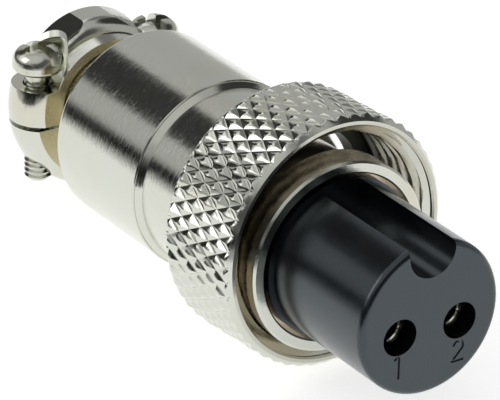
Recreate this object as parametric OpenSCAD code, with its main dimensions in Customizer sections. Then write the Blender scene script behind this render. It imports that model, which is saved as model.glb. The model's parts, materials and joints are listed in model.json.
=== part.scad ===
// Two-pole cable plug with a knurled screw coupling and a two-screw cable clamp.
// The plug's axis lies along X, the nose points to +X and the keyway is on top.
// The origin is on the axis, in the front face of the shell's flange.

/* [Nose] */
// Diameter of the insulator's nose
nose_d = 10.9; // [10.6:0.1:11.1]
// Length of the nose ahead of the flange
nose_len = 10.2; // [9:0.1:11]
// Radius of the nose's front edge
nose_edge = 0.45; // [0.2:0.05:0.7]
// Diameter of the round keyway on top
key_d = 3.6; // [3:0.1:4]
// Height of the keyway's centre above the axis
key_height = 4.75; // [4.5:0.05:5]

/* [Contacts] */
// Distance between the two contacts
contact_pitch = 4.7; // [4.4:0.1:5]
// How far the contacts lie below the axis
contact_drop = 0.75; // [0.4:0.05:1]
// Diameter of the pin that a contact takes
pin_d = 2; // [1.8:0.1:2.1]
// Depth of the contact's rim behind the nose's face
contact_recess = 1.5; // [1:0.1:2]
// Height of the engraved contact numbers
digit_h = 1.6; // [1.4:0.1:1.8]

/* [Coupling nut] */
// Nominal diameter of the coupling thread
thread_d = 16; // [15.8:0.1:16.4]
// Pitch of the coupling thread
thread_pitch = 1; // [0.75:0.25:1]
// Thickness of the nut over its thread
nut_rim = 1; // [0.9:0.05:1.3]
// Length of the nut
nut_len = 7.1; // [6.6:0.1:7.6]
// Thickness of the nut's rear wall
nut_wall = 1.5; // [1.2:0.1:2]
// Radial play of the loose nut on the shell
nut_play = 0.7; // [0.6:0.05:0.75]
// How far the nut's rim sits behind the flange
nut_back = 1; // [0.5:0.1:1.5]
// Sideways tilt of the loose nut
nut_yaw = 3; // [0:0.1:3.3]
// Upward tilt of the loose nut
nut_pitch = 1; // [0:0.1:1.5]
// Knurl points around the nut
knurl_count = 50; // [40:1:56]
// Knurl points along the nut
knurl_cols = 7; // [6:1:8]
// Depth of the knurl
knurl_depth = 0.25; // [0.15:0.05:0.3]

/* [Front shell] */
// Thickness of the flange that stops the nut
flange_t = 2.2; // [1.8:0.1:2.6]
// Length of the threaded tail inside the sleeve
tail_len = 4.3; // [3.5:0.1:4.6]
// Wall of the shell round the insulator
shell_wall = 1.25; // [1:0.05:1.35]

/* [Rear sleeve] */
// Wall of the sleeve's slimmer front round the shell's tail
sleeve_wall = 0.65; // [0.6:0.05:0.9]
// Height of the step to the full-size part
sleeve_step = 0.45; // [0.4:0.05:0.6]
// Length of the slimmer front
sleeve_front_len = 5.4; // [5:0.1:6.2]
// Length of the full-size part
sleeve_len = 10.2; // [9.5:0.1:12]
// Length of the neck between the sleeve and the clamp
neck_len = 3.9; // [3.2:0.1:4.6]
// Diameter of the neck
neck_d = 7.8; // [7.4:0.1:8.4]

/* [Cable clamp] */
// How far the clamp's ears stay inside the sleeve's outline
ear_inset = 0.1; // [0:0.05:0.2]
// Diameter of the saddle's arch
arch_d = 10.5; // [10.3:0.1:10.7]
// Diameter of the saddle's front lip
lip_d = 9.5; // [9.3:0.1:9.7]
// Length of the clamp
clamp_len = 4.4; // [4.2:0.1:4.4]
// Radius of the clamp's bulge along its length
barrel_r = 2.35; // [2.3:0.05:2.6]
// Diameter of the cable channel
cable_d = 6; // [5.4:0.1:6.2]
// Height of the parting plane
split_height = -0.95; // [-1.1:0.05:-0.6]
// Gap between the two halves
clamp_gap = 0.35; // [0.25:0.05:0.5]
// Height of the screw seats
seat_height = 1.8; // [1.6:0.05:2]

/* [Screws] */
// Thread diameter of the clamp screws
screw_d = 2; // [1.9:0.1:2.1]
// Pitch of the screw thread
screw_pitch = 0.4; // [0.35:0.05:0.45]
// Length under the head
screw_len = 8.45; // [8.2:0.05:9]
// Distance from a screw's axis to the outer edge of its ear
screw_edge = 2.1; // [2:0.05:2.2]
// Diameter of the screw head
head_d = 3.7; // [3.5:0.1:3.9]
// Height of the screw head
head_h = 1.75; // [1.5:0.05:1.9]
// How far the loosened heads stand off their seats
head_lift = 1.05; // [0.8:0.05:1.2]

/* [Hidden] */
$fn = 96;

// Clearances of the fits and of the faces that move past each other
slip = 0.03;
run = 0.05;
// Overcut that keeps cutters clear of the faces they open
past = 1;

// Nut: the thread, the flange it hangs on and the bore of its rear wall follow from one another
thread_depth = thread_pitch / 2;
minor_r = thread_d / 2 - thread_depth;
flange_r = minor_r - nut_play;
flange_hook = 0.25;
rear_bore_r = flange_r - flange_hook;
journal_r = rear_bore_r - nut_play + run;
nut_lean = 38;
nut_off = nut_play - run;
nut_at = [-nut_back, nut_off * sin(nut_lean), nut_off * cos(nut_lean)];
mouth_play = 0.17;
mouth_r = thread_d / 2 + mouth_play;
mouth_depth = 0.35;
mouth_slope = 0.2;
rim_edge = 0.08;
tip_r = thread_d / 2 + nut_rim;
root_r = tip_r - knurl_depth;
front_bevel = 0.45;
rear_bevel = 0.35;
knurl_rows = 2 * knurl_count;
knurl_turn = 4.3;
knurl_step = (nut_len - front_bevel - rear_bevel) / (knurl_cols - 1);

// Rear sleeve, from its front end to the clamp
front_r = journal_r + sleeve_wall;
sleeve_r = front_r + sleeve_step;
tilt_room = 0.6;
sleeve_x = -nut_back - nut_len - tilt_room;
cone_x = sleeve_x - sleeve_front_len;
cone_len = 0.45;
step_x = cone_x - cone_len;
step_h = 0.13;
step_edge = 0.07;
sleeve_rear = step_x - sleeve_len;
sleeve_edge = 0.4;
front_edge = 0.15;
tail_rear = sleeve_x - tail_len;
tail_gap = 0.3;
thread_rear = tail_rear - tail_gap;
chamber_wall = 1.4;
chamber_r = sleeve_r - chamber_wall;
end_wall = 1.4;
neck_bore_r = cable_d / 2;
neck_inset = 0.2;

// Insulator and contacts
nose_r = nose_d / 2;
recess_gap = 0.5;
recess_r = nose_r + recess_gap;
recess_depth = 1.2;
recess_edge = 0.12;
collar_lip = 0.22;
collar_r = nose_r + collar_lip;
flange_edge = 0.15;
bore_r = journal_r - shell_wall;
spigot_r = bore_r - slip;
spigot_inset = 0.4;
spigot_rear = sleeve_x + spigot_inset;
contact_wall = 0.26;
contact_r = pin_d / 2 + contact_wall;
cavity_r = contact_r + slip;
contact_stop = 0.5;
contact_front = nose_len - contact_recess;
contact_inset = 0.7;
contact_rear = tail_rear + contact_inset;
socket_depth = 6.5;
slit_len = 5;
slit_w = 0.35;
lead_in = 0.2;
post_r = pin_d / 2;
cup_wall = 0.28;
cup_r = post_r - cup_wall;
cup_len = 2.9;
cup_open = 2.4;
ring_t = 0.5;
ring_bite = 0.4;
ring_r = bore_r + ring_bite;
ring_stop = 0.65;
ring_bore_r = bore_r - ring_stop;
ring_opening = 2.5;
digit_line = 0.17;
digit_cut = 0.12;
digit_drop = 2.2;

// Clamp
channel_play = 0.2;
channel_r = cable_d / 2 + channel_play;
clamp_front = sleeve_rear - neck_len;
clamp_rear = clamp_front - clamp_len;
lower_inset = 0.25;
ear_r = sleeve_r - ear_inset;
arch_r = arch_d / 2;
arch_rise = 0.65;
arch_inset = 0.35;
arch_rear_edge = 0.3;
arch_round = 1.2;
lip_r = lip_d / 2;
lip_len = 1.9;
lip_flare = 0.4;
arch_front = clamp_front - lip_len / 2;
arch_rear = clamp_rear + arch_inset;
upper_z = split_height + clamp_gap / 2;
lower_z = split_height - clamp_gap / 2;
screw_inset = 2.15;
screw_x = clamp_front - screw_inset;
screw_y = ear_r - screw_edge;
pocket_play = 0.3;
pocket_r = head_d / 2 + pocket_play;
screw_r = screw_d / 2;
tapped_r = screw_r + slip;
clear_r = screw_r + 2 * run;
head_z = seat_height + head_lift;
head_under = 0.35;
head_edge = 1.1;
slot_w = 0.8;
slot_depth = 0.9;
cross_len = 2.3;
left_cross = 15;
right_cross = -5;
plain_len = 0.3;
screw_depth = 0.2;
tip_edge = 0.25;
reach = nose_len - clamp_rear;

nickel = [0.8, 0.79, 0.75];
steel = [0.77, 0.76, 0.71];
gilt = [0.85, 0.76, 0.5];
black = [0.1, 0.1, 0.11];

// Round bar along X
module bar(r, x0, x1) {
    translate([x0, 0, 0])
        rotate([0, 90, 0])
            cylinder(r = r, h = x1 - x0);
}

// Turns a flat section of [radius, x] round the plug's axis
module turned() {
    rotate([0, 90, 0])
        rotate_extrude()
            children();
}

// Section of a bar whose outer edges at x0 and x1 are rounded
module rounded_section(r, x0, x1, e0, e1) {
    polygon([[0, x0], [r - e0, x0], [r, x0 + e0], [r, x1 - e1], [r - e1, x1], [0, x1]]);
    if (e0 > 0)
        translate([r - e0, x0 + e0])
            circle(e0);
    if (e1 > 0)
        translate([r - e1, x1 - e1])
            circle(e1);
}

// All space above or below a level plane
module above(z) {
    translate([-reach, -reach, z])
        cube([2 * reach, 2 * reach, reach]);
}

module below(z) {
    translate([-reach, -reach, z - reach])
        cube([2 * reach, 2 * reach, reach]);
}

// One turn of a thread's section: crest, flank, root and flank over one pitch
function thread_turn(crest, root, x, pitch) = [
    [crest, x + 0.1 * pitch],
    [root, x + 0.45 * pitch],
    [root, x + 0.55 * pitch],
    [crest, x + 0.9 * pitch]
];

function thread_section(crest, root, x, pitch, turns) =
    [for (k = [0 : turns - 1], p = thread_turn(crest, root, x + k * pitch, pitch)) p];

// Knurl: points alternate between tip and root over a grid, and each cell folds along its groove.
// It runs out at both ends in a bevel down to a smooth ring.
function knurl_x(i) =
    i == 0 ? -nut_len :
    i <= knurl_cols ? -nut_len + rear_bevel + (i - 1) * knurl_step : 0;

function knurl_radius(i, j) =
    i > 0 && i <= knurl_cols && (i + j) % 2 == 1 ? tip_r : root_r;

function knurl_point(i, j) =
    let (r = knurl_radius(i, j), a = knurl_turn + j * 360 / knurl_rows)
    [knurl_x(i), r * cos(a), r * sin(a)];

function knurl_index(i, j) = i * knurl_rows + j % knurl_rows;

function knurl_cell(i, j) =
    let (a = knurl_index(i, j), b = knurl_index(i + 1, j),
        c = knurl_index(i + 1, j + 1), d = knurl_index(i, j + 1))
    (i + j) % 2 == 0 ? [[a, b, c], [a, c, d]] : [[a, b, d], [b, c, d]];

module nut_outside() {
    last = knurl_cols + 1;
    points = [for (i = [0 : last], j = [0 : knurl_rows - 1]) knurl_point(i, j)];
    sides = [for (i = [0 : last - 1], j = [0 : knurl_rows - 1], f = knurl_cell(i, j)) f];
    rear = [for (j = [0 : knurl_rows - 1]) knurl_index(0, j)];
    front = [for (j = [0 : knurl_rows - 1]) knurl_index(last, knurl_rows - 1 - j)];
    polyhedron(points = points, faces = concat(sides, [rear, front]), convexity = 4);
}

module nut_inside() {
    wall_x = nut_wall - nut_len;
    mouth_x = -mouth_depth - mouth_slope;
    turns = floor((mouth_x - wall_x) / thread_pitch);
    turned()
        polygon(concat(
            [[0, -nut_len - past], [rear_bore_r, -nut_len - past], [rear_bore_r, wall_x], [minor_r, wall_x]],
            thread_section(minor_r, thread_d / 2, wall_x, thread_pitch, turns),
            [[minor_r, mouth_x], [mouth_r, -mouth_depth], [mouth_r, -rim_edge],
                [mouth_r + rim_edge, 0], [mouth_r + rim_edge, past], [0, past]]));
}

module coupling_nut() {
    color(nickel)
        translate(nut_at)
            rotate([0, -nut_pitch, nut_yaw])
                difference() {
                    nut_outside();
                    nut_inside();
                }
}

module front_shell() {
    color(nickel)
        difference() {
            union() {
                turned()
                    polygon([[0, -flange_t], [flange_r, -flange_t], [flange_r, -flange_edge],
                        [flange_r - flange_edge, 0], [0, 0]]);
                bar(journal_r, tail_rear, -flange_t);
            }
            turned()
                polygon([[0, -recess_depth], [recess_r, -recess_depth], [recess_r, -recess_edge],
                    [recess_r + recess_edge, 0], [recess_r + recess_edge, past], [0, past]]);
            bar(bore_r, tail_rear - past, -recess_depth + past / 2);
            bar(ring_r + slip, spigot_rear - ring_t - 2 * run, spigot_rear);
        }
}

// Contact numbers as strokes, each centred under its hole
module digit_one() {
    translate([-digit_line / 2, -digit_h / 2])
        square([digit_line, digit_h]);
    translate([0, digit_h / 2])
        rotate(218)
            translate([0, -digit_line])
                square([digit_h / 4, digit_line]);
}

module digit_two() {
    bow_r = digit_h * 0.29;
    bow_z = digit_h / 2 - bow_r;
    foot_z = -digit_h / 2;
    run_y = bow_r * cos(-35);
    run_z = bow_z + bow_r * sin(-35);
    stroke = norm([run_y + bow_r, run_z - foot_z]);
    intersection() {
        difference() {
            translate([0, bow_z])
                circle(bow_r);
            translate([0, bow_z])
                circle(bow_r - digit_line);
        }
        translate([0, bow_z])
            polygon([[-bow_r * 2, bow_r * 0.25], [0, 0], [bow_r * cos(-35) * 2, bow_r * sin(-35) * 2],
                [bow_r * 2, bow_r * 2], [-bow_r * 2, bow_r * 2]]);
    }
    translate([-bow_r, foot_z])
        rotate(atan2(run_z - foot_z, run_y + bow_r))
            square([stroke, digit_line]);
    translate([-bow_r, foot_z])
        square([bow_r * 2, digit_line]);
}

// Lays a flat figure of [y, z] on the nose's face
module on_face(y, z) {
    translate([nose_len - digit_cut, y, z])
        rotate([90, 0, 90])
            linear_extrude(digit_cut + past)
                children();
}

module insulator() {
    color(black)
        difference() {
            union() {
                turned()
                    rounded_section(nose_r, 0, nose_len, 0, nose_edge);
                bar(collar_r, -recess_depth, 0);
                bar(spigot_r, spigot_rear, -recess_depth);
            }
            translate([0, 0, key_height])
                bar(key_d / 2, 0, nose_len + past);
            for (side = [-1, 1])
                translate([0, side * contact_pitch / 2, -contact_drop]) {
                    bar(cavity_r, contact_stop, nose_len + past);
                    bar(post_r + slip, spigot_rear - past, contact_stop + past / 2);
                }
            on_face(-contact_pitch / 2, -contact_drop - digit_drop)
                digit_one();
            on_face(contact_pitch / 2, -contact_drop - digit_drop)
                digit_two();
        }
}

// Socket contact: slit tube in front, solder cup behind
module contact(side) {
    color(gilt)
        translate([0, side * contact_pitch / 2, -contact_drop])
            difference() {
                union() {
                    bar(contact_r, contact_stop + slip, contact_front);
                    bar(post_r, contact_rear, contact_stop + past);
                }
                turned()
                    polygon([[0, contact_front - socket_depth], [pin_d / 2, contact_front - socket_depth],
                        [pin_d / 2, contact_front - lead_in], [pin_d / 2 + lead_in, contact_front],
                        [pin_d / 2 + lead_in, contact_front + past], [0, contact_front + past]]);
                translate([contact_front - slit_len, -slit_w / 2, -past * 2])
                    cube([slit_len + past, slit_w, past * 4]);
                bar(cup_r, contact_rear - past, contact_rear + cup_len);
                translate([contact_rear - past, -past * 2, cup_r / 3])
                    cube([cup_open + past, past * 4, past * 2]);
            }
}

module contact_left() {
    contact(-1);
}

module contact_right() {
    contact(1);
}

module retaining_ring() {
    color(steel)
        difference() {
            bar(ring_r, spigot_rear - ring_t - run, spigot_rear - run);
            bar(ring_bore_r, spigot_rear - ring_t - past, spigot_rear + past);
            translate([spigot_rear - ring_t - past, -ring_opening / 2, -ring_r - past])
                cube([ring_t + 2 * past, ring_opening, ring_r + past]);
        }
}

// Section of the clamp from x0 to x1, bulging to radius r at the screws
module barrel_section(r, x0, x1) {
    intersection() {
        union() {
            translate([0, x0])
                square([r - barrel_r, x1 - x0]);
            translate([r - barrel_r, screw_x])
                circle(barrel_r);
        }
        translate([0, x0])
            square([r, x1 - x0]);
    }
}

// Clamp outline across the ears, shared by both halves
module clamp_block(x1) {
    turned()
        barrel_section(ear_r, clamp_rear, x1);
}

module at_screws() {
    for (side = [-1, 1])
        translate([screw_x, side * screw_y, 0])
            children();
}

module sleeve_section() {
    polygon([[0, sleeve_rear], [sleeve_r - sleeve_edge, sleeve_rear], [sleeve_r, sleeve_rear + sleeve_edge],
        [sleeve_r, step_x - step_edge], [sleeve_r - step_edge, step_x], [sleeve_r - step_h, step_x],
        [front_r, cone_x], [front_r, sleeve_x - front_edge], [front_r - front_edge, sleeve_x],
        [0, sleeve_x]]);
    translate([sleeve_r - sleeve_edge, sleeve_rear + sleeve_edge])
        circle(sleeve_edge);
}

module rear_sleeve() {
    lower_front = clamp_front - lower_inset;
    color(nickel)
        difference() {
            union() {
                turned()
                    sleeve_section();
                bar(neck_d / 2, clamp_front + neck_inset, sleeve_rear + past);
                intersection() {
                    union() {
                        bar(neck_d / 2, lower_front - past, sleeve_rear);
                        clamp_block(lower_front);
                    }
                    below(lower_z);
                }
            }
            bar(journal_r + run, thread_rear, sleeve_x + past);
            bar(chamber_r, sleeve_rear + end_wall, thread_rear + past);
            bar(neck_bore_r, clamp_front + neck_inset - past, sleeve_rear + end_wall + past);
            bar(channel_r, clamp_rear - past, clamp_front);
            at_screws()
                translate([0, 0, -ear_r])
                    cylinder(r = tapped_r, h = ear_r);
        }
}

// Upper half: an arch over the cable with a lip in front, between two seats for the screw heads
module clamp_saddle() {
    color(nickel)
        difference() {
            intersection() {
                union() {
                    translate([0, 0, arch_rise])
                        turned()
                            rounded_section(arch_r, arch_rear, arch_front, arch_rear_edge, arch_round);
                    turned()
                        polygon([[0, clamp_front - lip_len], [lip_r + lip_flare, clamp_front - lip_len],
                            [lip_r, clamp_front], [0, clamp_front]]);
                    intersection() {
                        clamp_block(clamp_front);
                        below(seat_height);
                    }
                }
                above(upper_z);
            }
            bar(channel_r, clamp_rear - past, clamp_front + past);
            at_screws()
                translate([0, 0, seat_height])
                    cylinder(r = pocket_r, h = ear_r);
            at_screws()
                translate([0, 0, upper_z - past])
                    cylinder(r = clear_r, h = ear_r);
        }
}

// Round-edged pan head with a slot through it and a shorter cross recess
module screw_head(turn) {
    difference() {
        rotate_extrude()
            intersection() {
                rounded_section(head_d / 2, 0, head_h, head_under, head_edge);
                square([head_d / 2, head_h]);
            }
        rotate(turn)
            translate([-head_d, -slot_w / 2, head_h - slot_depth])
                cube([2 * head_d, slot_w, head_h]);
        rotate(turn)
            translate([-slot_w / 2, -cross_len / 2, head_h - slot_depth])
                cube([slot_w, cross_len, head_h]);
    }
}

module screw_shank() {
    turns = floor((screw_len - plain_len - tip_edge) / screw_pitch);
    threaded = tip_edge - screw_len + turns * screw_pitch;
    rotate_extrude()
        polygon(concat(
            [[0, -screw_len], [screw_r - tip_edge, -screw_len]],
            thread_section(screw_r, screw_r - screw_depth, tip_edge - screw_len, screw_pitch, turns),
            [[screw_r, threaded], [screw_r, 0], [0, 0]]));
}

module clamp_screw(side, turn) {
    color(steel)
        translate([screw_x, side * screw_y, head_z])
            union() {
                screw_head(turn);
                screw_shank();
            }
}

module clamp_screw_left() {
    clamp_screw(-1, left_cross);
}

module clamp_screw_right() {
    clamp_screw(1, right_cross);
}

front_shell();
insulator();
contact_left();
contact_right();
retaining_ring();
coupling_nut();
rear_sleeve();
clamp_saddle();
clamp_screw_left();
clamp_screw_right();
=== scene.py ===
import json
import bpy
import numpy as np
from mathutils import Matrix


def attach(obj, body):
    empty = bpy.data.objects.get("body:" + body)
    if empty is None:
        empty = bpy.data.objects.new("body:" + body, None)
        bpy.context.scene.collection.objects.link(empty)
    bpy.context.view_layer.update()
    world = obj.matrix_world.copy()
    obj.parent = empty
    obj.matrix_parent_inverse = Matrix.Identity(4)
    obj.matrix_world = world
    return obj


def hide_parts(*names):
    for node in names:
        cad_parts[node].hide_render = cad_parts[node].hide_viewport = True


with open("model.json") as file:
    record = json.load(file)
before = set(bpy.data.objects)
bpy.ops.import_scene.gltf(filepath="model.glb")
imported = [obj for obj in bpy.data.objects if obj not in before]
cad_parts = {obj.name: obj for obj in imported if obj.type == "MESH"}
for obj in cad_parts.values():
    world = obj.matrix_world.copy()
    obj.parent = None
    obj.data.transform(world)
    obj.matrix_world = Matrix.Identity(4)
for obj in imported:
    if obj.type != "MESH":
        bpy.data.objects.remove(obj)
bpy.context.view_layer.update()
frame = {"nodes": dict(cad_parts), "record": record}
scene = bpy.context.scene
scene.view_settings.view_transform = "Standard"
print("frame loaded:", len(frame["nodes"]), "nodes")


class Wire:  # one socket of a node tree; maths on it adds Math nodes
    def __init__(self, tree, socket=None):
        self.tree = tree
        self.socket = socket

    def node(self, kind, settings=None, sockets=None, output=0):  # any other node
        made = self.tree.nodes.new(kind)
        for key, value in (settings or {}).items():
            setattr(made, key, value)
        for key, value in (sockets or {}).items():
            if isinstance(value, Wire):
                self.tree.links.new(value.socket, made.inputs[key])
            else:
                made.inputs[key].default_value = value
        if isinstance(output, tuple):
            return [Wire(self.tree, made.outputs[name]) for name in output]
        return Wire(self.tree, made.outputs[output]) if len(made.outputs) else None

    def calc(self, operation, *values):
        return self.node("ShaderNodeMath", {"operation": operation}, dict(enumerate(values)))

    def __add__(self, other):
        return self.calc("ADD", self, other)

    def __radd__(self, other):
        return self.calc("ADD", other, self)

    def __sub__(self, other):
        return self.calc("SUBTRACT", self, other)

    def __rsub__(self, other):
        return self.calc("SUBTRACT", other, self)

    def __mul__(self, other):
        return self.calc("MULTIPLY", self, other)

    def __rmul__(self, other):
        return self.calc("MULTIPLY", other, self)

    def __pow__(self, other):
        return self.calc("POWER", self, other)

    def __abs__(self):
        return self.calc("ABSOLUTE", self)

    def most(self, other):  # the larger of two values
        return self.calc("MAXIMUM", self, other)

    def ramp(self, low, high):  # 0 below low, 1 above high, smooth between
        return self.node("ShaderNodeMapRange", {"interpolation_type": "SMOOTHSTEP"},
                         {"Value": self, "From Min": low, "From Max": high}, "Result")

    def mix(self, factor, first, second):  # two colours
        return self.node("ShaderNodeMix", {"data_type": "RGBA"},
                         {"Factor": factor, "A": first, "B": second}, "Result")

    def split(self):  # x, y and z of a vector
        return self.node("ShaderNodeSeparateXYZ", sockets={"Vector": self}, output=("X", "Y", "Z"))

    def noise(self, scale, detail):
        return self.node("ShaderNodeTexNoise",
                         sockets={"Vector": self, "Scale": scale, "Detail": detail}, output="Fac")

    def swing(self, reach):  # noise about its middle value
        return (self - 0.5) * reach

    def bump(self):  # from a height in m
        return self.node("ShaderNodeBump", sockets={"Strength": 1.0, "Distance": 1.0, "Height": self})


def unit(vector):
    return np.array(vector, float) / np.linalg.norm(vector)


def place(holder, right, up, back, spot):  # link a camera or lamp, turned to three axes
    table = np.eye(4)
    table[:3] = np.stack([right, up, back, spot], 1)
    holder.matrix_world = Matrix(table.tolist())
    scene.collection.objects.link(holder)


# camera: the plug's axis, lean and place as seen in the photo, right, down and forward
photoView = {
    "axis": (0.5512, 0.3759, -0.7449),
    "lean": 1.5,  # degrees
    "place": (5.924, 3.767, 263.64),  # mm
    "lens": 288.0,
    "sensor": 36,
    "near": 0.01,
}


def placeCamera(view):
    along = unit(view["axis"])
    up = unit((0, along[2], -along[1]))
    side = np.cross(up, along)
    lean = np.radians(view["lean"])
    up = up * np.cos(lean) + side * np.sin(lean)
    turn = np.stack([along, np.cross(up, along), up], 1)
    lens = bpy.data.cameras.new("photoCamera")
    lens.lens = view["lens"]
    lens.sensor_width = view["sensor"]
    lens.clip_start = view["near"]
    holder = bpy.data.objects.new("photoCamera", lens)
    place(holder, turn[0], -turn[1], -turn[2], -turn.T @ np.array(view["place"]) / 1000)
    scene.camera = holder


placeCamera(photoView)


def meshFrom(name, points, faces, material, sharp=None):  # smooth if a sharp angle is given
    mesh = bpy.data.meshes.new(name)
    mesh.from_pydata(points.reshape(-1, 3).tolist(), [], faces.tolist())
    mesh.validate()
    mesh.polygons.foreach_set("use_smooth", np.full(len(mesh.polygons), sharp is not None))
    if sharp is not None:
        mesh.set_sharp_from_angle(angle=np.radians(sharp))
    mesh.materials.append(material)
    piece = bpy.data.objects.new(name, mesh)
    scene.collection.objects.link(piece)
    return piece


def newMaterial(name):
    material = bpy.data.materials.new(name)
    material.use_nodes = True
    material.node_tree.nodes.clear()
    return material, Wire(material.node_tree)


# floor: level for the plug as it lies, on the nut's rear edge and the clamp
floorLook = {
    "touch": (-0.0075, -0.0086),  # x and z under the nut, m
    "slope": 4.13,  # degrees, rising to the clamp
    "x": (-0.16, 0.12),
    "y": (-0.042, 0.16),
    "white": 0.8,
    "lift": 0.69,
}


def layFloor(look):
    material, wire = newMaterial("paleFloor")
    direct, mirrored, through = wire.node(
        "ShaderNodeLightPath", output=("Is Camera Ray", "Is Glossy Ray", "Is Transmission Ray"))
    seen = direct.most(mirrored).most(through)
    paint = wire.node("ShaderNodeBsdfDiffuse", sockets={"Color": (look["white"],) * 3 + (1,)})
    glow = wire.node("ShaderNodeEmission", sockets={"Strength": seen * look["lift"]})
    both = wire.node("ShaderNodeAddShader", sockets={0: paint, 1: glow})
    wire.node("ShaderNodeOutputMaterial", sockets={"Surface": both})
    x = np.array(look["x"])[[0, 1, 1, 0]]
    y = np.array(look["y"])[[0, 0, 1, 1]]
    z = look["touch"][1] - np.tan(np.radians(look["slope"])) * (x - look["touch"][0])
    floor = meshFrom("floor", np.stack([x, y, z], 1), np.array([[0, 1, 2, 3]]), material)


layFloor(floorLook)

# studio: grey tent with darker openings and a white panel; directions point from the plug
studioLook = {
    "walls": 0.62,
    "band": {"x": (-0.70, -0.63, -0.50, -0.44), "y": (0.3, 0.5), "z": (0.2, 0.35), "level": 1.4},
    "patches": [  # direction, inner and outer half angle, level
        ((0.85, -0.25, 0.45), 30, 50, 0.12),
        ((0.30, -0.45, 0.84), 25, 38, 0.8),
        ((0.05, 0.72, 0.69), 18, 27, 0.06),
        ((0.25, -0.95, -0.12), 14, 28, 0.06),
        ((-0.77, -0.22, 0.60), 13, 19, 0.05),
        ((-0.95, -0.22, 0.22), 8, 15, 0.06),
        ((-0.44, 0.47, 0.77), 10, 18, 0.28),
    ],
    "strip": {"height": (0.06, 0.13), "y": (-0.2, 0.3), "level": 0.02},
    "lamp": {"place": (-0.115, -0.37, 0.25), "size": (0.22, 0.24), "watts": 0.27},
}


def lightStudio(look):
    world = bpy.data.worlds.new("studio")
    scene.world = world
    world.use_nodes = True
    world.node_tree.nodes.clear()
    wire = Wire(world.node_tree)
    x, y, z = wire.node("ShaderNodeTexCoord", output="Generated").split()
    band = look["band"]
    mask = x.ramp(*band["x"][:2]) * (1 - x.ramp(*band["x"][2:]))
    mask = mask * (1 - y.ramp(*band["y"])) * z.ramp(*band["z"])
    level = mask * band["level"] + (1 - mask) * look["walls"]
    for way, inner, outer, glow in look["patches"]:
        a, b, c = unit(way)
        near = x * a + y * b + z * c
        mask = near.ramp(np.cos(np.radians(outer)), np.cos(np.radians(inner)))
        level = mask * glow + (1 - mask) * level
    strip = look["strip"]
    slope = np.radians(floorLook["slope"])
    height = x * np.sin(slope) + z * np.cos(slope)  # over the floor's own horizon
    mask = (1 - abs(height).ramp(*strip["height"])) * (1 - y.ramp(*strip["y"]))
    level = mask * strip["level"] + (1 - mask) * level
    seen = wire.node("ShaderNodeLightPath", output="Is Camera Ray")
    level = seen + (1 - seen) * level
    sky = wire.node("ShaderNodeBackground", sockets={"Strength": level})
    wire.node("ShaderNodeOutputWorld", sockets={"Surface": sky})
    panel = bpy.data.lights.new("panel", "AREA")
    panel.shape = "RECTANGLE"
    panel.size, panel.size_y = look["lamp"]["size"]
    panel.energy = look["lamp"]["watts"]
    spot = np.array(look["lamp"]["place"])
    back = unit(spot)
    side = unit(np.cross((0, 0, 1), back))
    place(bpy.data.objects.new("panel", panel), side, np.cross(back, side), back, spot)


lightStudio(studioLook)
print("camera, floor and light placed")


def between(low, high, soft=2e-5):  # 1 where x lies between two planes, m
    return lambda x, y, z: x.ramp(low - soft, low + soft) * (1 - x.ramp(high - soft, high + soft))


archFlats = {"centre": 0.00065, "lean": 36, "reach": 0.00483}  # m and degrees


def archHollow(x, y, z):  # how far the clamp's round arch stands over a flat on each flank
    lean = np.radians(archFlats["lean"])
    out = abs(y) * np.sin(lean) + (z - archFlats["centre"]) * np.cos(lean)
    return (out - archFlats["reach"]).most(0.0)


contactPlace = {"side": 0.00235, "drop": 0.00075, "edge": (0.00106, 0.0011), "front": (0.0084, 0.0085)}  # m


def contactFaceShade(x, y, z):  # 1 on a contact's end face, outside its lead-in, where painted shade goes
    across = abs(y) - contactPlace["side"]
    rise = z + contactPlace["drop"]
    out = (across * across + rise * rise) ** 0.5
    return out.ramp(*contactPlace["edge"]) * x.ramp(*contactPlace["front"])


nutJoint = next(j for j in frame["record"]["behaviour"]["joints"] if j["name"] == "nut_spin")
nutZones = {  # m, out from the nut's axis and along it from the rim
    "wall": (0.00822, 0.0083), "rim": (0.0085, 0.00858), "rimFace": (-0.00012, -0.00004), "rimShare": 0.5,
    "thread": (-0.0011, -0.0006), "blindEnd": (-0.0056, -0.0042), "rearFace": (-0.00705, -0.00695),
}


def nutPlace(x, y, z):  # how far along the nut's axis and out from it
    a, b, c = unit(nutJoint["axis"])
    u, v, w = nutJoint["pos_m"]
    dx, dy, dz = x - u, y - v, z - w
    along = dx * a + dy * b + dz * c
    return along, (dx * dx + dy * dy + dz * dz - along * along) ** 0.5


def nutRim(x, y, z):  # its share on the flat rim
    along, out = nutPlace(x, y, z)
    return (1 - out.ramp(*nutZones["rim"])) * along.ramp(*nutZones["rimFace"]) * nutZones["rimShare"]


def nutThreadShade(x, y, z):  # 1 behind the lead-in cone, where the thread run is painted with shade
    along, out = nutPlace(x, y, z)
    return (1 - out.ramp(*nutZones["wall"])) * (1 - along.ramp(*nutZones["thread"]))


def nutEndShade(x, y, z):  # 1 at the thread's blind end, painted dark as shade
    along, out = nutPlace(x, y, z)
    deep = (1 - along.ramp(*nutZones["blindEnd"])) * along.ramp(*nutZones["rearFace"])
    return (1 - out.ramp(*nutZones["wall"])) * deep


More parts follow.
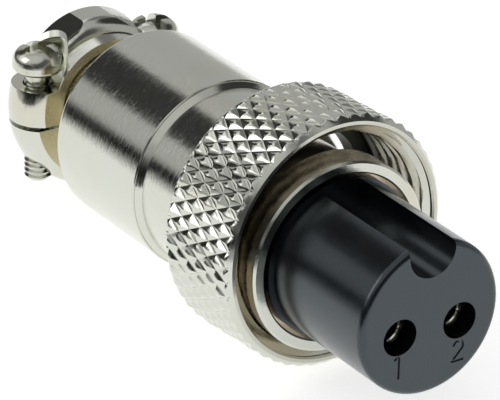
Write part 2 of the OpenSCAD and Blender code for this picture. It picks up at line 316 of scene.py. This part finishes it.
nickel = {  # what the metal finishes share; depths in m
    "tint": (0.63, 0.645, 0.58, 1), "rough": 0.13,
    "stain": 0.25, "stainTint": (0.62, 0.56, 0.42, 1), "stainRange": (0.45, 0.75),
    "stainScale": 160.0, "stainDetail": 3.0, "stainRough": 0.05,
    "grainScale": 6000.0, "grainDetail": 2.0, "grainRough": 0.08, "grainDeep": 1.5e-6,
    "sweep": 0.12, "lineScale": 12000.0, "lineDetail": 2.0, "lineRough": 0.25, "lineDeep": 5e-6,
    "shadeAndDullRough": 0.12,
}
# duller nickel: a duller tone on the nut's flat rim, and painted shade on the thread run inside the nut
dullAndShadeNickel = (0.52, 0.51, 0.43, 1)
finishes = {  # what differs; the masked colour list holds painted shade in gaps and hollows, and a duller tone on the nut's flat rim, with the colour there
    # painted golden reflection and shade on the sleeve's rear end, in the narrow gap facing the clamp
    "sleeveNickel": {"lineDeep": 1e-5, "shadeAndDull": [(between(-0.02891, -0.0247), (0.70, 0.66, 0.51, 1))]},
    "nutNickel": {
        "stain": 0.3, "lineDeep": 0.5e-6,
        # the rim's duller tone, then painted shade on the thread run and, near black, at its blind end
        "shadeAndDull": [(nutRim, dullAndShadeNickel), (nutThreadShade, dullAndShadeNickel), (nutEndShade, (0.10, 0.10, 0.09, 1))],
    },
    "shellNickel": {
        "rough": 0.17, "grainDeep": 3e-6, "lineDeep": 8e-6, "stain": 0.5, "shadeAndDullRough": 0.0,
        # painted brown shade on the shell behind its front face, inside the nut and in the bore round the nose
        "shadeAndDull": [(between(-0.02, -0.00017), (0.49, 0.43, 0.34, 1))],
    },
    "clampNickel": {
        "lineDeep": 0.3e-6, "stain": 0.5, "hollow": archHollow,
        # painted golden shade on the clamp's front face, across the narrow gap from the sleeve
        "shadeAndDull": [(between(-0.02866, -0.025), (0.62, 0.58, 0.44, 1))],
    },
    "screwNickel": {
        "rough": 0.2, "lineDeep": 0.2e-6,
        "stain": 0.6, "stainScale": 700.0, "stainTint": (0.5, 0.45, 0.3, 1),
    },
    "contactMetal": {
        "tint": (0.92, 0.90, 0.80, 1), "rough": 0.14, "lineDeep": 0.3e-6,
        # painted near-black shade on the contacts' end faces, deep in their holes, leaving a thin lit arc on
        # the lead-in
        "shadeAndDull": [(contactFaceShade, (0.03, 0.03, 0.025, 1))],
    },
    "springSteel": {"tint": (0.55, 0.54, 0.52, 1), "rough": 0.3},
}


def nickelFinish(name, look):  # plated metal: turning lines, satin grain, faint stains, and, where masked, painted shade in gaps and hollows and a duller tone on the nut's rim
    material, wire = newMaterial(name)
    spot = wire.node("ShaderNodeTexCoord", output="Object")
    x, y, z = spot.split()
    stain = spot.noise(look["stainScale"], look["stainDetail"])
    grain = spot.noise(look["grainScale"], look["grainDetail"])
    turned = wire.node("ShaderNodeCombineXYZ", sockets={"X": x, "Y": y * look["sweep"], "Z": z * look["sweep"]})
    lines = turned.noise(look["lineScale"], look["lineDetail"])
    tint = wire.mix(stain.ramp(*look["stainRange"]) * look["stain"], look["tint"], look["stainTint"])
    rough = look["rough"] + grain.swing(look["grainRough"]) + stain.swing(look["stainRough"])
    rough = rough + lines.swing(look["lineRough"])
    # painted shade in gaps and hollows, and the nut rim's duller tone, mixed over the tint and roughened
    for cover, colour in look.get("shadeAndDull", []):
        mask = cover(x, y, z)
        tint = wire.mix(mask, tint, colour)
        rough = rough + mask * look["shadeAndDullRough"]
    height = lines * look["lineDeep"] + grain * look["grainDeep"]
    if "hollow" in look:
        height = height - look["hollow"](x, y, z)
    shader = wire.node("ShaderNodeBsdfPrincipled", sockets={
        "Base Color": tint, "Metallic": 1.0, "Roughness": rough, "Normal": height.bump()})
    wire.node("ShaderNodeOutputMaterial", sockets={"Surface": shader})
    return material


insulatorLook = {
    "black": (0.003, 0.0033, 0.0045, 1), "sheen": (0.78, 0.92, 1.0, 1), "ior": 1.8, "rough": 0.22,
    "dust": (0.018, 0.02, 0.023, 1), "dustShare": 0.3, "dustRange": (0.5, 0.8),
    "cloudScale": 260.0, "cloudDetail": 4.0, "cloudRough": 0.12,
    "grainScale": 3500.0, "grainDetail": 3.0, "grainRough": 0.1, "grainDeep": 2e-6,
    "numberLight": (0.05, 0.053, 0.06, 1),  # painted light in the engraved contact numbers, lifting their shaded grooves; found by the next three, m
    "markTop": (-0.0022, -0.0021), "markOut": (0.0047, 0.0048), "markFace": (0.01016, 0.01019),
}


def insulatorFinish(name, look):  # moulded black: fine skin, faint dust clouds, and painted light in the engraved numbers
    material, wire = newMaterial(name)
    spot = wire.node("ShaderNodeTexCoord", output="Object")
    x, y, z = spot.split()
    cloud = spot.noise(look["cloudScale"], look["cloudDetail"])
    grain = spot.noise(look["grainScale"], look["grainDetail"])
    tint = wire.mix(cloud.ramp(*look["dustRange"]) * look["dustShare"], look["black"], look["dust"])
    out = (y * y + z * z) ** 0.5
    # painted light: the engraved numbers' grooves lightened to offset their shade
    numberLight = (1 - z.ramp(*look["markTop"])) * (1 - out.ramp(*look["markOut"])) * (1 - x.ramp(*look["markFace"]))
    tint = wire.mix(numberLight, tint, look["numberLight"])
    rough = look["rough"] + cloud.swing(look["cloudRough"]) + grain.swing(look["grainRough"])
    skin = (grain * look["grainDeep"]).bump()
    shader = wire.node("ShaderNodeBsdfPrincipled", sockets={
        "Base Color": tint, "Roughness": rough, "Normal": skin,
        "IOR": look["ior"], "Specular Tint": look["sheen"]})
    wire.node("ShaderNodeOutputMaterial", sockets={"Surface": shader})
    return material


materials = {name: nickelFinish(name, {**nickel, **look}) for name, look in finishes.items()}
materials["insulatorBlack"] = insulatorFinish("insulatorBlack", insulatorLook)
dressed = {
    "front_shell": "shellNickel",
    "insulator": "insulatorBlack",
    "contact_left": "contactMetal",
    "contact_right": "contactMetal",
    "retaining_ring": "springSteel",
    "coupling_nut": "nutNickel",
    "rear_sleeve": "sleeveNickel",
    "clamp_saddle": "clampNickel",
    "clamp_screw_left": "screwNickel",
    "clamp_screw_right": "screwNickel",
}
for node, finish in dressed.items():
    mesh = frame["nodes"][node].data
    mesh.materials.clear()
    mesh.materials.append(materials[finish])
print("finishes set")

# knurled nut, mm, in its own frame: s along its axis from the rim, angle round it
nutShape = {
    "length": 7.1, "frontBevel": 0.45, "rearBevel": 0.35, "rim": 8.55,
    "tip": 9.0, "depth": 0.23, "count": 50, "columns": 7, "turn": 4.3,  # points round and along, degrees
    "pillow": 1.4, "wear": 0.25, "wearSeed": 7,
    "edge": 8.3, "edgeIn": 0.1, "mouth": 8.17, "mouthEnd": 0.2,
    "crest": 7.5, "root": 8.05, "pitch": 1.0, "phase": 0.15, "threadStart": 0.3, "leadIn": 1.6,
    "cutFrom": 0.3, "cutSpan": 0.6, "runOut": 0.3, "wall": 1.5, "bore": 6.55,
    "fine": 6, "frontRows": 6, "rearRows": 4, "threadRows": 90, "sharp": 20,  # mesh
}


def triangle(phase):  # 1 at whole numbers, 0 halfway between them
    return np.abs(2 * (phase - np.floor(phase)) - 1)


def knurl(shape, s, angle):
    # radius of the outside: the lower of two crossing triangle waves, rounded to a pillow,
    # each diamond scaled by its own wear, and all of it held under the two bevels
    base = shape["tip"] - shape["depth"]
    step = (shape["length"] - shape["frontBevel"] - shape["rearBevel"]) / (shape["columns"] - 1)
    across = shape["count"] * (angle - np.radians(shape["turn"])) / (2 * np.pi)
    climb = (s + shape["length"] - shape["rearBevel"]) / (2 * step)
    left, right = across + climb + 0.5, across - climb + 0.5
    height = 1 - (1 - np.minimum(triangle(left), triangle(right))) ** shape["pillow"]
    turn, back = np.round(left).astype(int), np.round(right).astype(int)
    dice = np.random.default_rng(shape["wearSeed"])
    worn = dice.uniform(0, shape["wear"], (4 * shape["columns"], 2 * shape["count"]))
    height = height * (1 - worn[(turn - back) % len(worn), (turn + back) % (2 * shape["count"])])
    rear = base + shape["depth"] * np.minimum((s + shape["length"]) / shape["rearBevel"], 1)
    front = shape["rim"] - s * (shape["tip"] - shape["rim"]) / shape["frontBevel"]
    return np.minimum(base + shape["depth"] * height, np.minimum(rear, front))


def knurledNut(shape):
    # a closed section carried round the axis: outside, lip, thread run and rear bore;
    # the thread run is pushed out by a wave that climbs one pitch per turn and by a lead-in cone
    around = shape["count"] * 2 * shape["fine"]
    angle = np.linspace(0, 2 * np.pi, around, endpoint=False)
    rear, front = shape["rearBevel"] - shape["length"], -shape["frontBevel"]
    s = np.concatenate([np.linspace(-shape["length"], rear, shape["rearRows"], endpoint=False),
                        np.linspace(rear, front, (shape["columns"] - 1) * shape["fine"], endpoint=False),
                        np.linspace(front, 0, shape["frontRows"])])[:, None]
    outer = knurl(shape, s, angle[None, :])
    end = shape["wall"] - shape["length"]
    t = np.linspace(-shape["threadStart"], end, shape["threadRows"])[:, None]
    wave = triangle(t / shape["pitch"] - angle[None, :] / (2 * np.pi) - shape["phase"])
    cut = np.clip((wave - shape["cutFrom"]) / shape["cutSpan"], 0, 1)
    fade = np.clip((t - end) / shape["runOut"], 0, 1)
    thread = shape["crest"] + (shape["root"] - shape["crest"]) * cut * fade
    thread = np.maximum(thread, shape["mouth"] + (shape["threadStart"] + t) * shape["leadIn"])
    lip = [(0, shape["edge"]), (-shape["edgeIn"], shape["mouth"]), (-shape["mouthEnd"], shape["mouth"])]
    back = [(end, shape["bore"]), (-shape["length"], shape["bore"])]
    runs = [(s, outer)] + lip + [(t, thread)] + back
    section = np.concatenate([
        np.stack(np.broadcast_arrays(*run, np.zeros((1, around)))[:2], 2) for run in runs])
    middle = knurl(shape, (s[1:] + s[:-1]) / 2, angle[None, :] + np.pi / around)
    on = np.roll(outer, -1, 1)
    other = np.abs(outer[1:] + on[:-1] - 2 * middle) < np.abs(outer[:-1] + on[1:] - 2 * middle)
    return angle, section, other


def closedGrid(rows, columns, other):  # triangles of a grid that closes both ways
    i = np.arange(rows)[:, None]
    j = np.arange(columns)[None, :]
    up, on = (i + 1) % rows, (j + 1) % columns
    a, b, c, d = np.broadcast_arrays(i * columns + j, up * columns + j, up * columns + on, i * columns + on)
    turned = np.zeros((rows, columns), bool)
    turned[:len(other)] = other  # squares split from the second corner to the fourth
    first = np.where(turned[..., None], np.stack([a, b, d], 2), np.stack([a, b, c], 2))
    second = np.where(turned[..., None], np.stack([b, c, d], 2), np.stack([a, c, d], 2))
    return np.concatenate([first, second]).reshape(-1, 3)


def makeNut(shape):
    angle, section, other = knurledNut(shape)
    along = unit(nutJoint["axis"])
    side = unit(np.cross((0, 0, 1), along))
    up = np.cross(along, side)
    s, r = section[..., :1] / 1000, section[..., 1:] / 1000
    out = np.cos(angle)[None, :, None] * side + np.sin(angle)[None, :, None] * up
    points = np.array(nutJoint["pos_m"]) + s * along + r * out
    faces = closedGrid(*section.shape[:2], other)[:, ::-1]
    piece = meshFrom("knurled_nut", points, faces, materials["nutNickel"], shape["sharp"])
    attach(piece, "nut")
    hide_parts("coupling_nut")


makeNut(nutShape)
print("nut made")
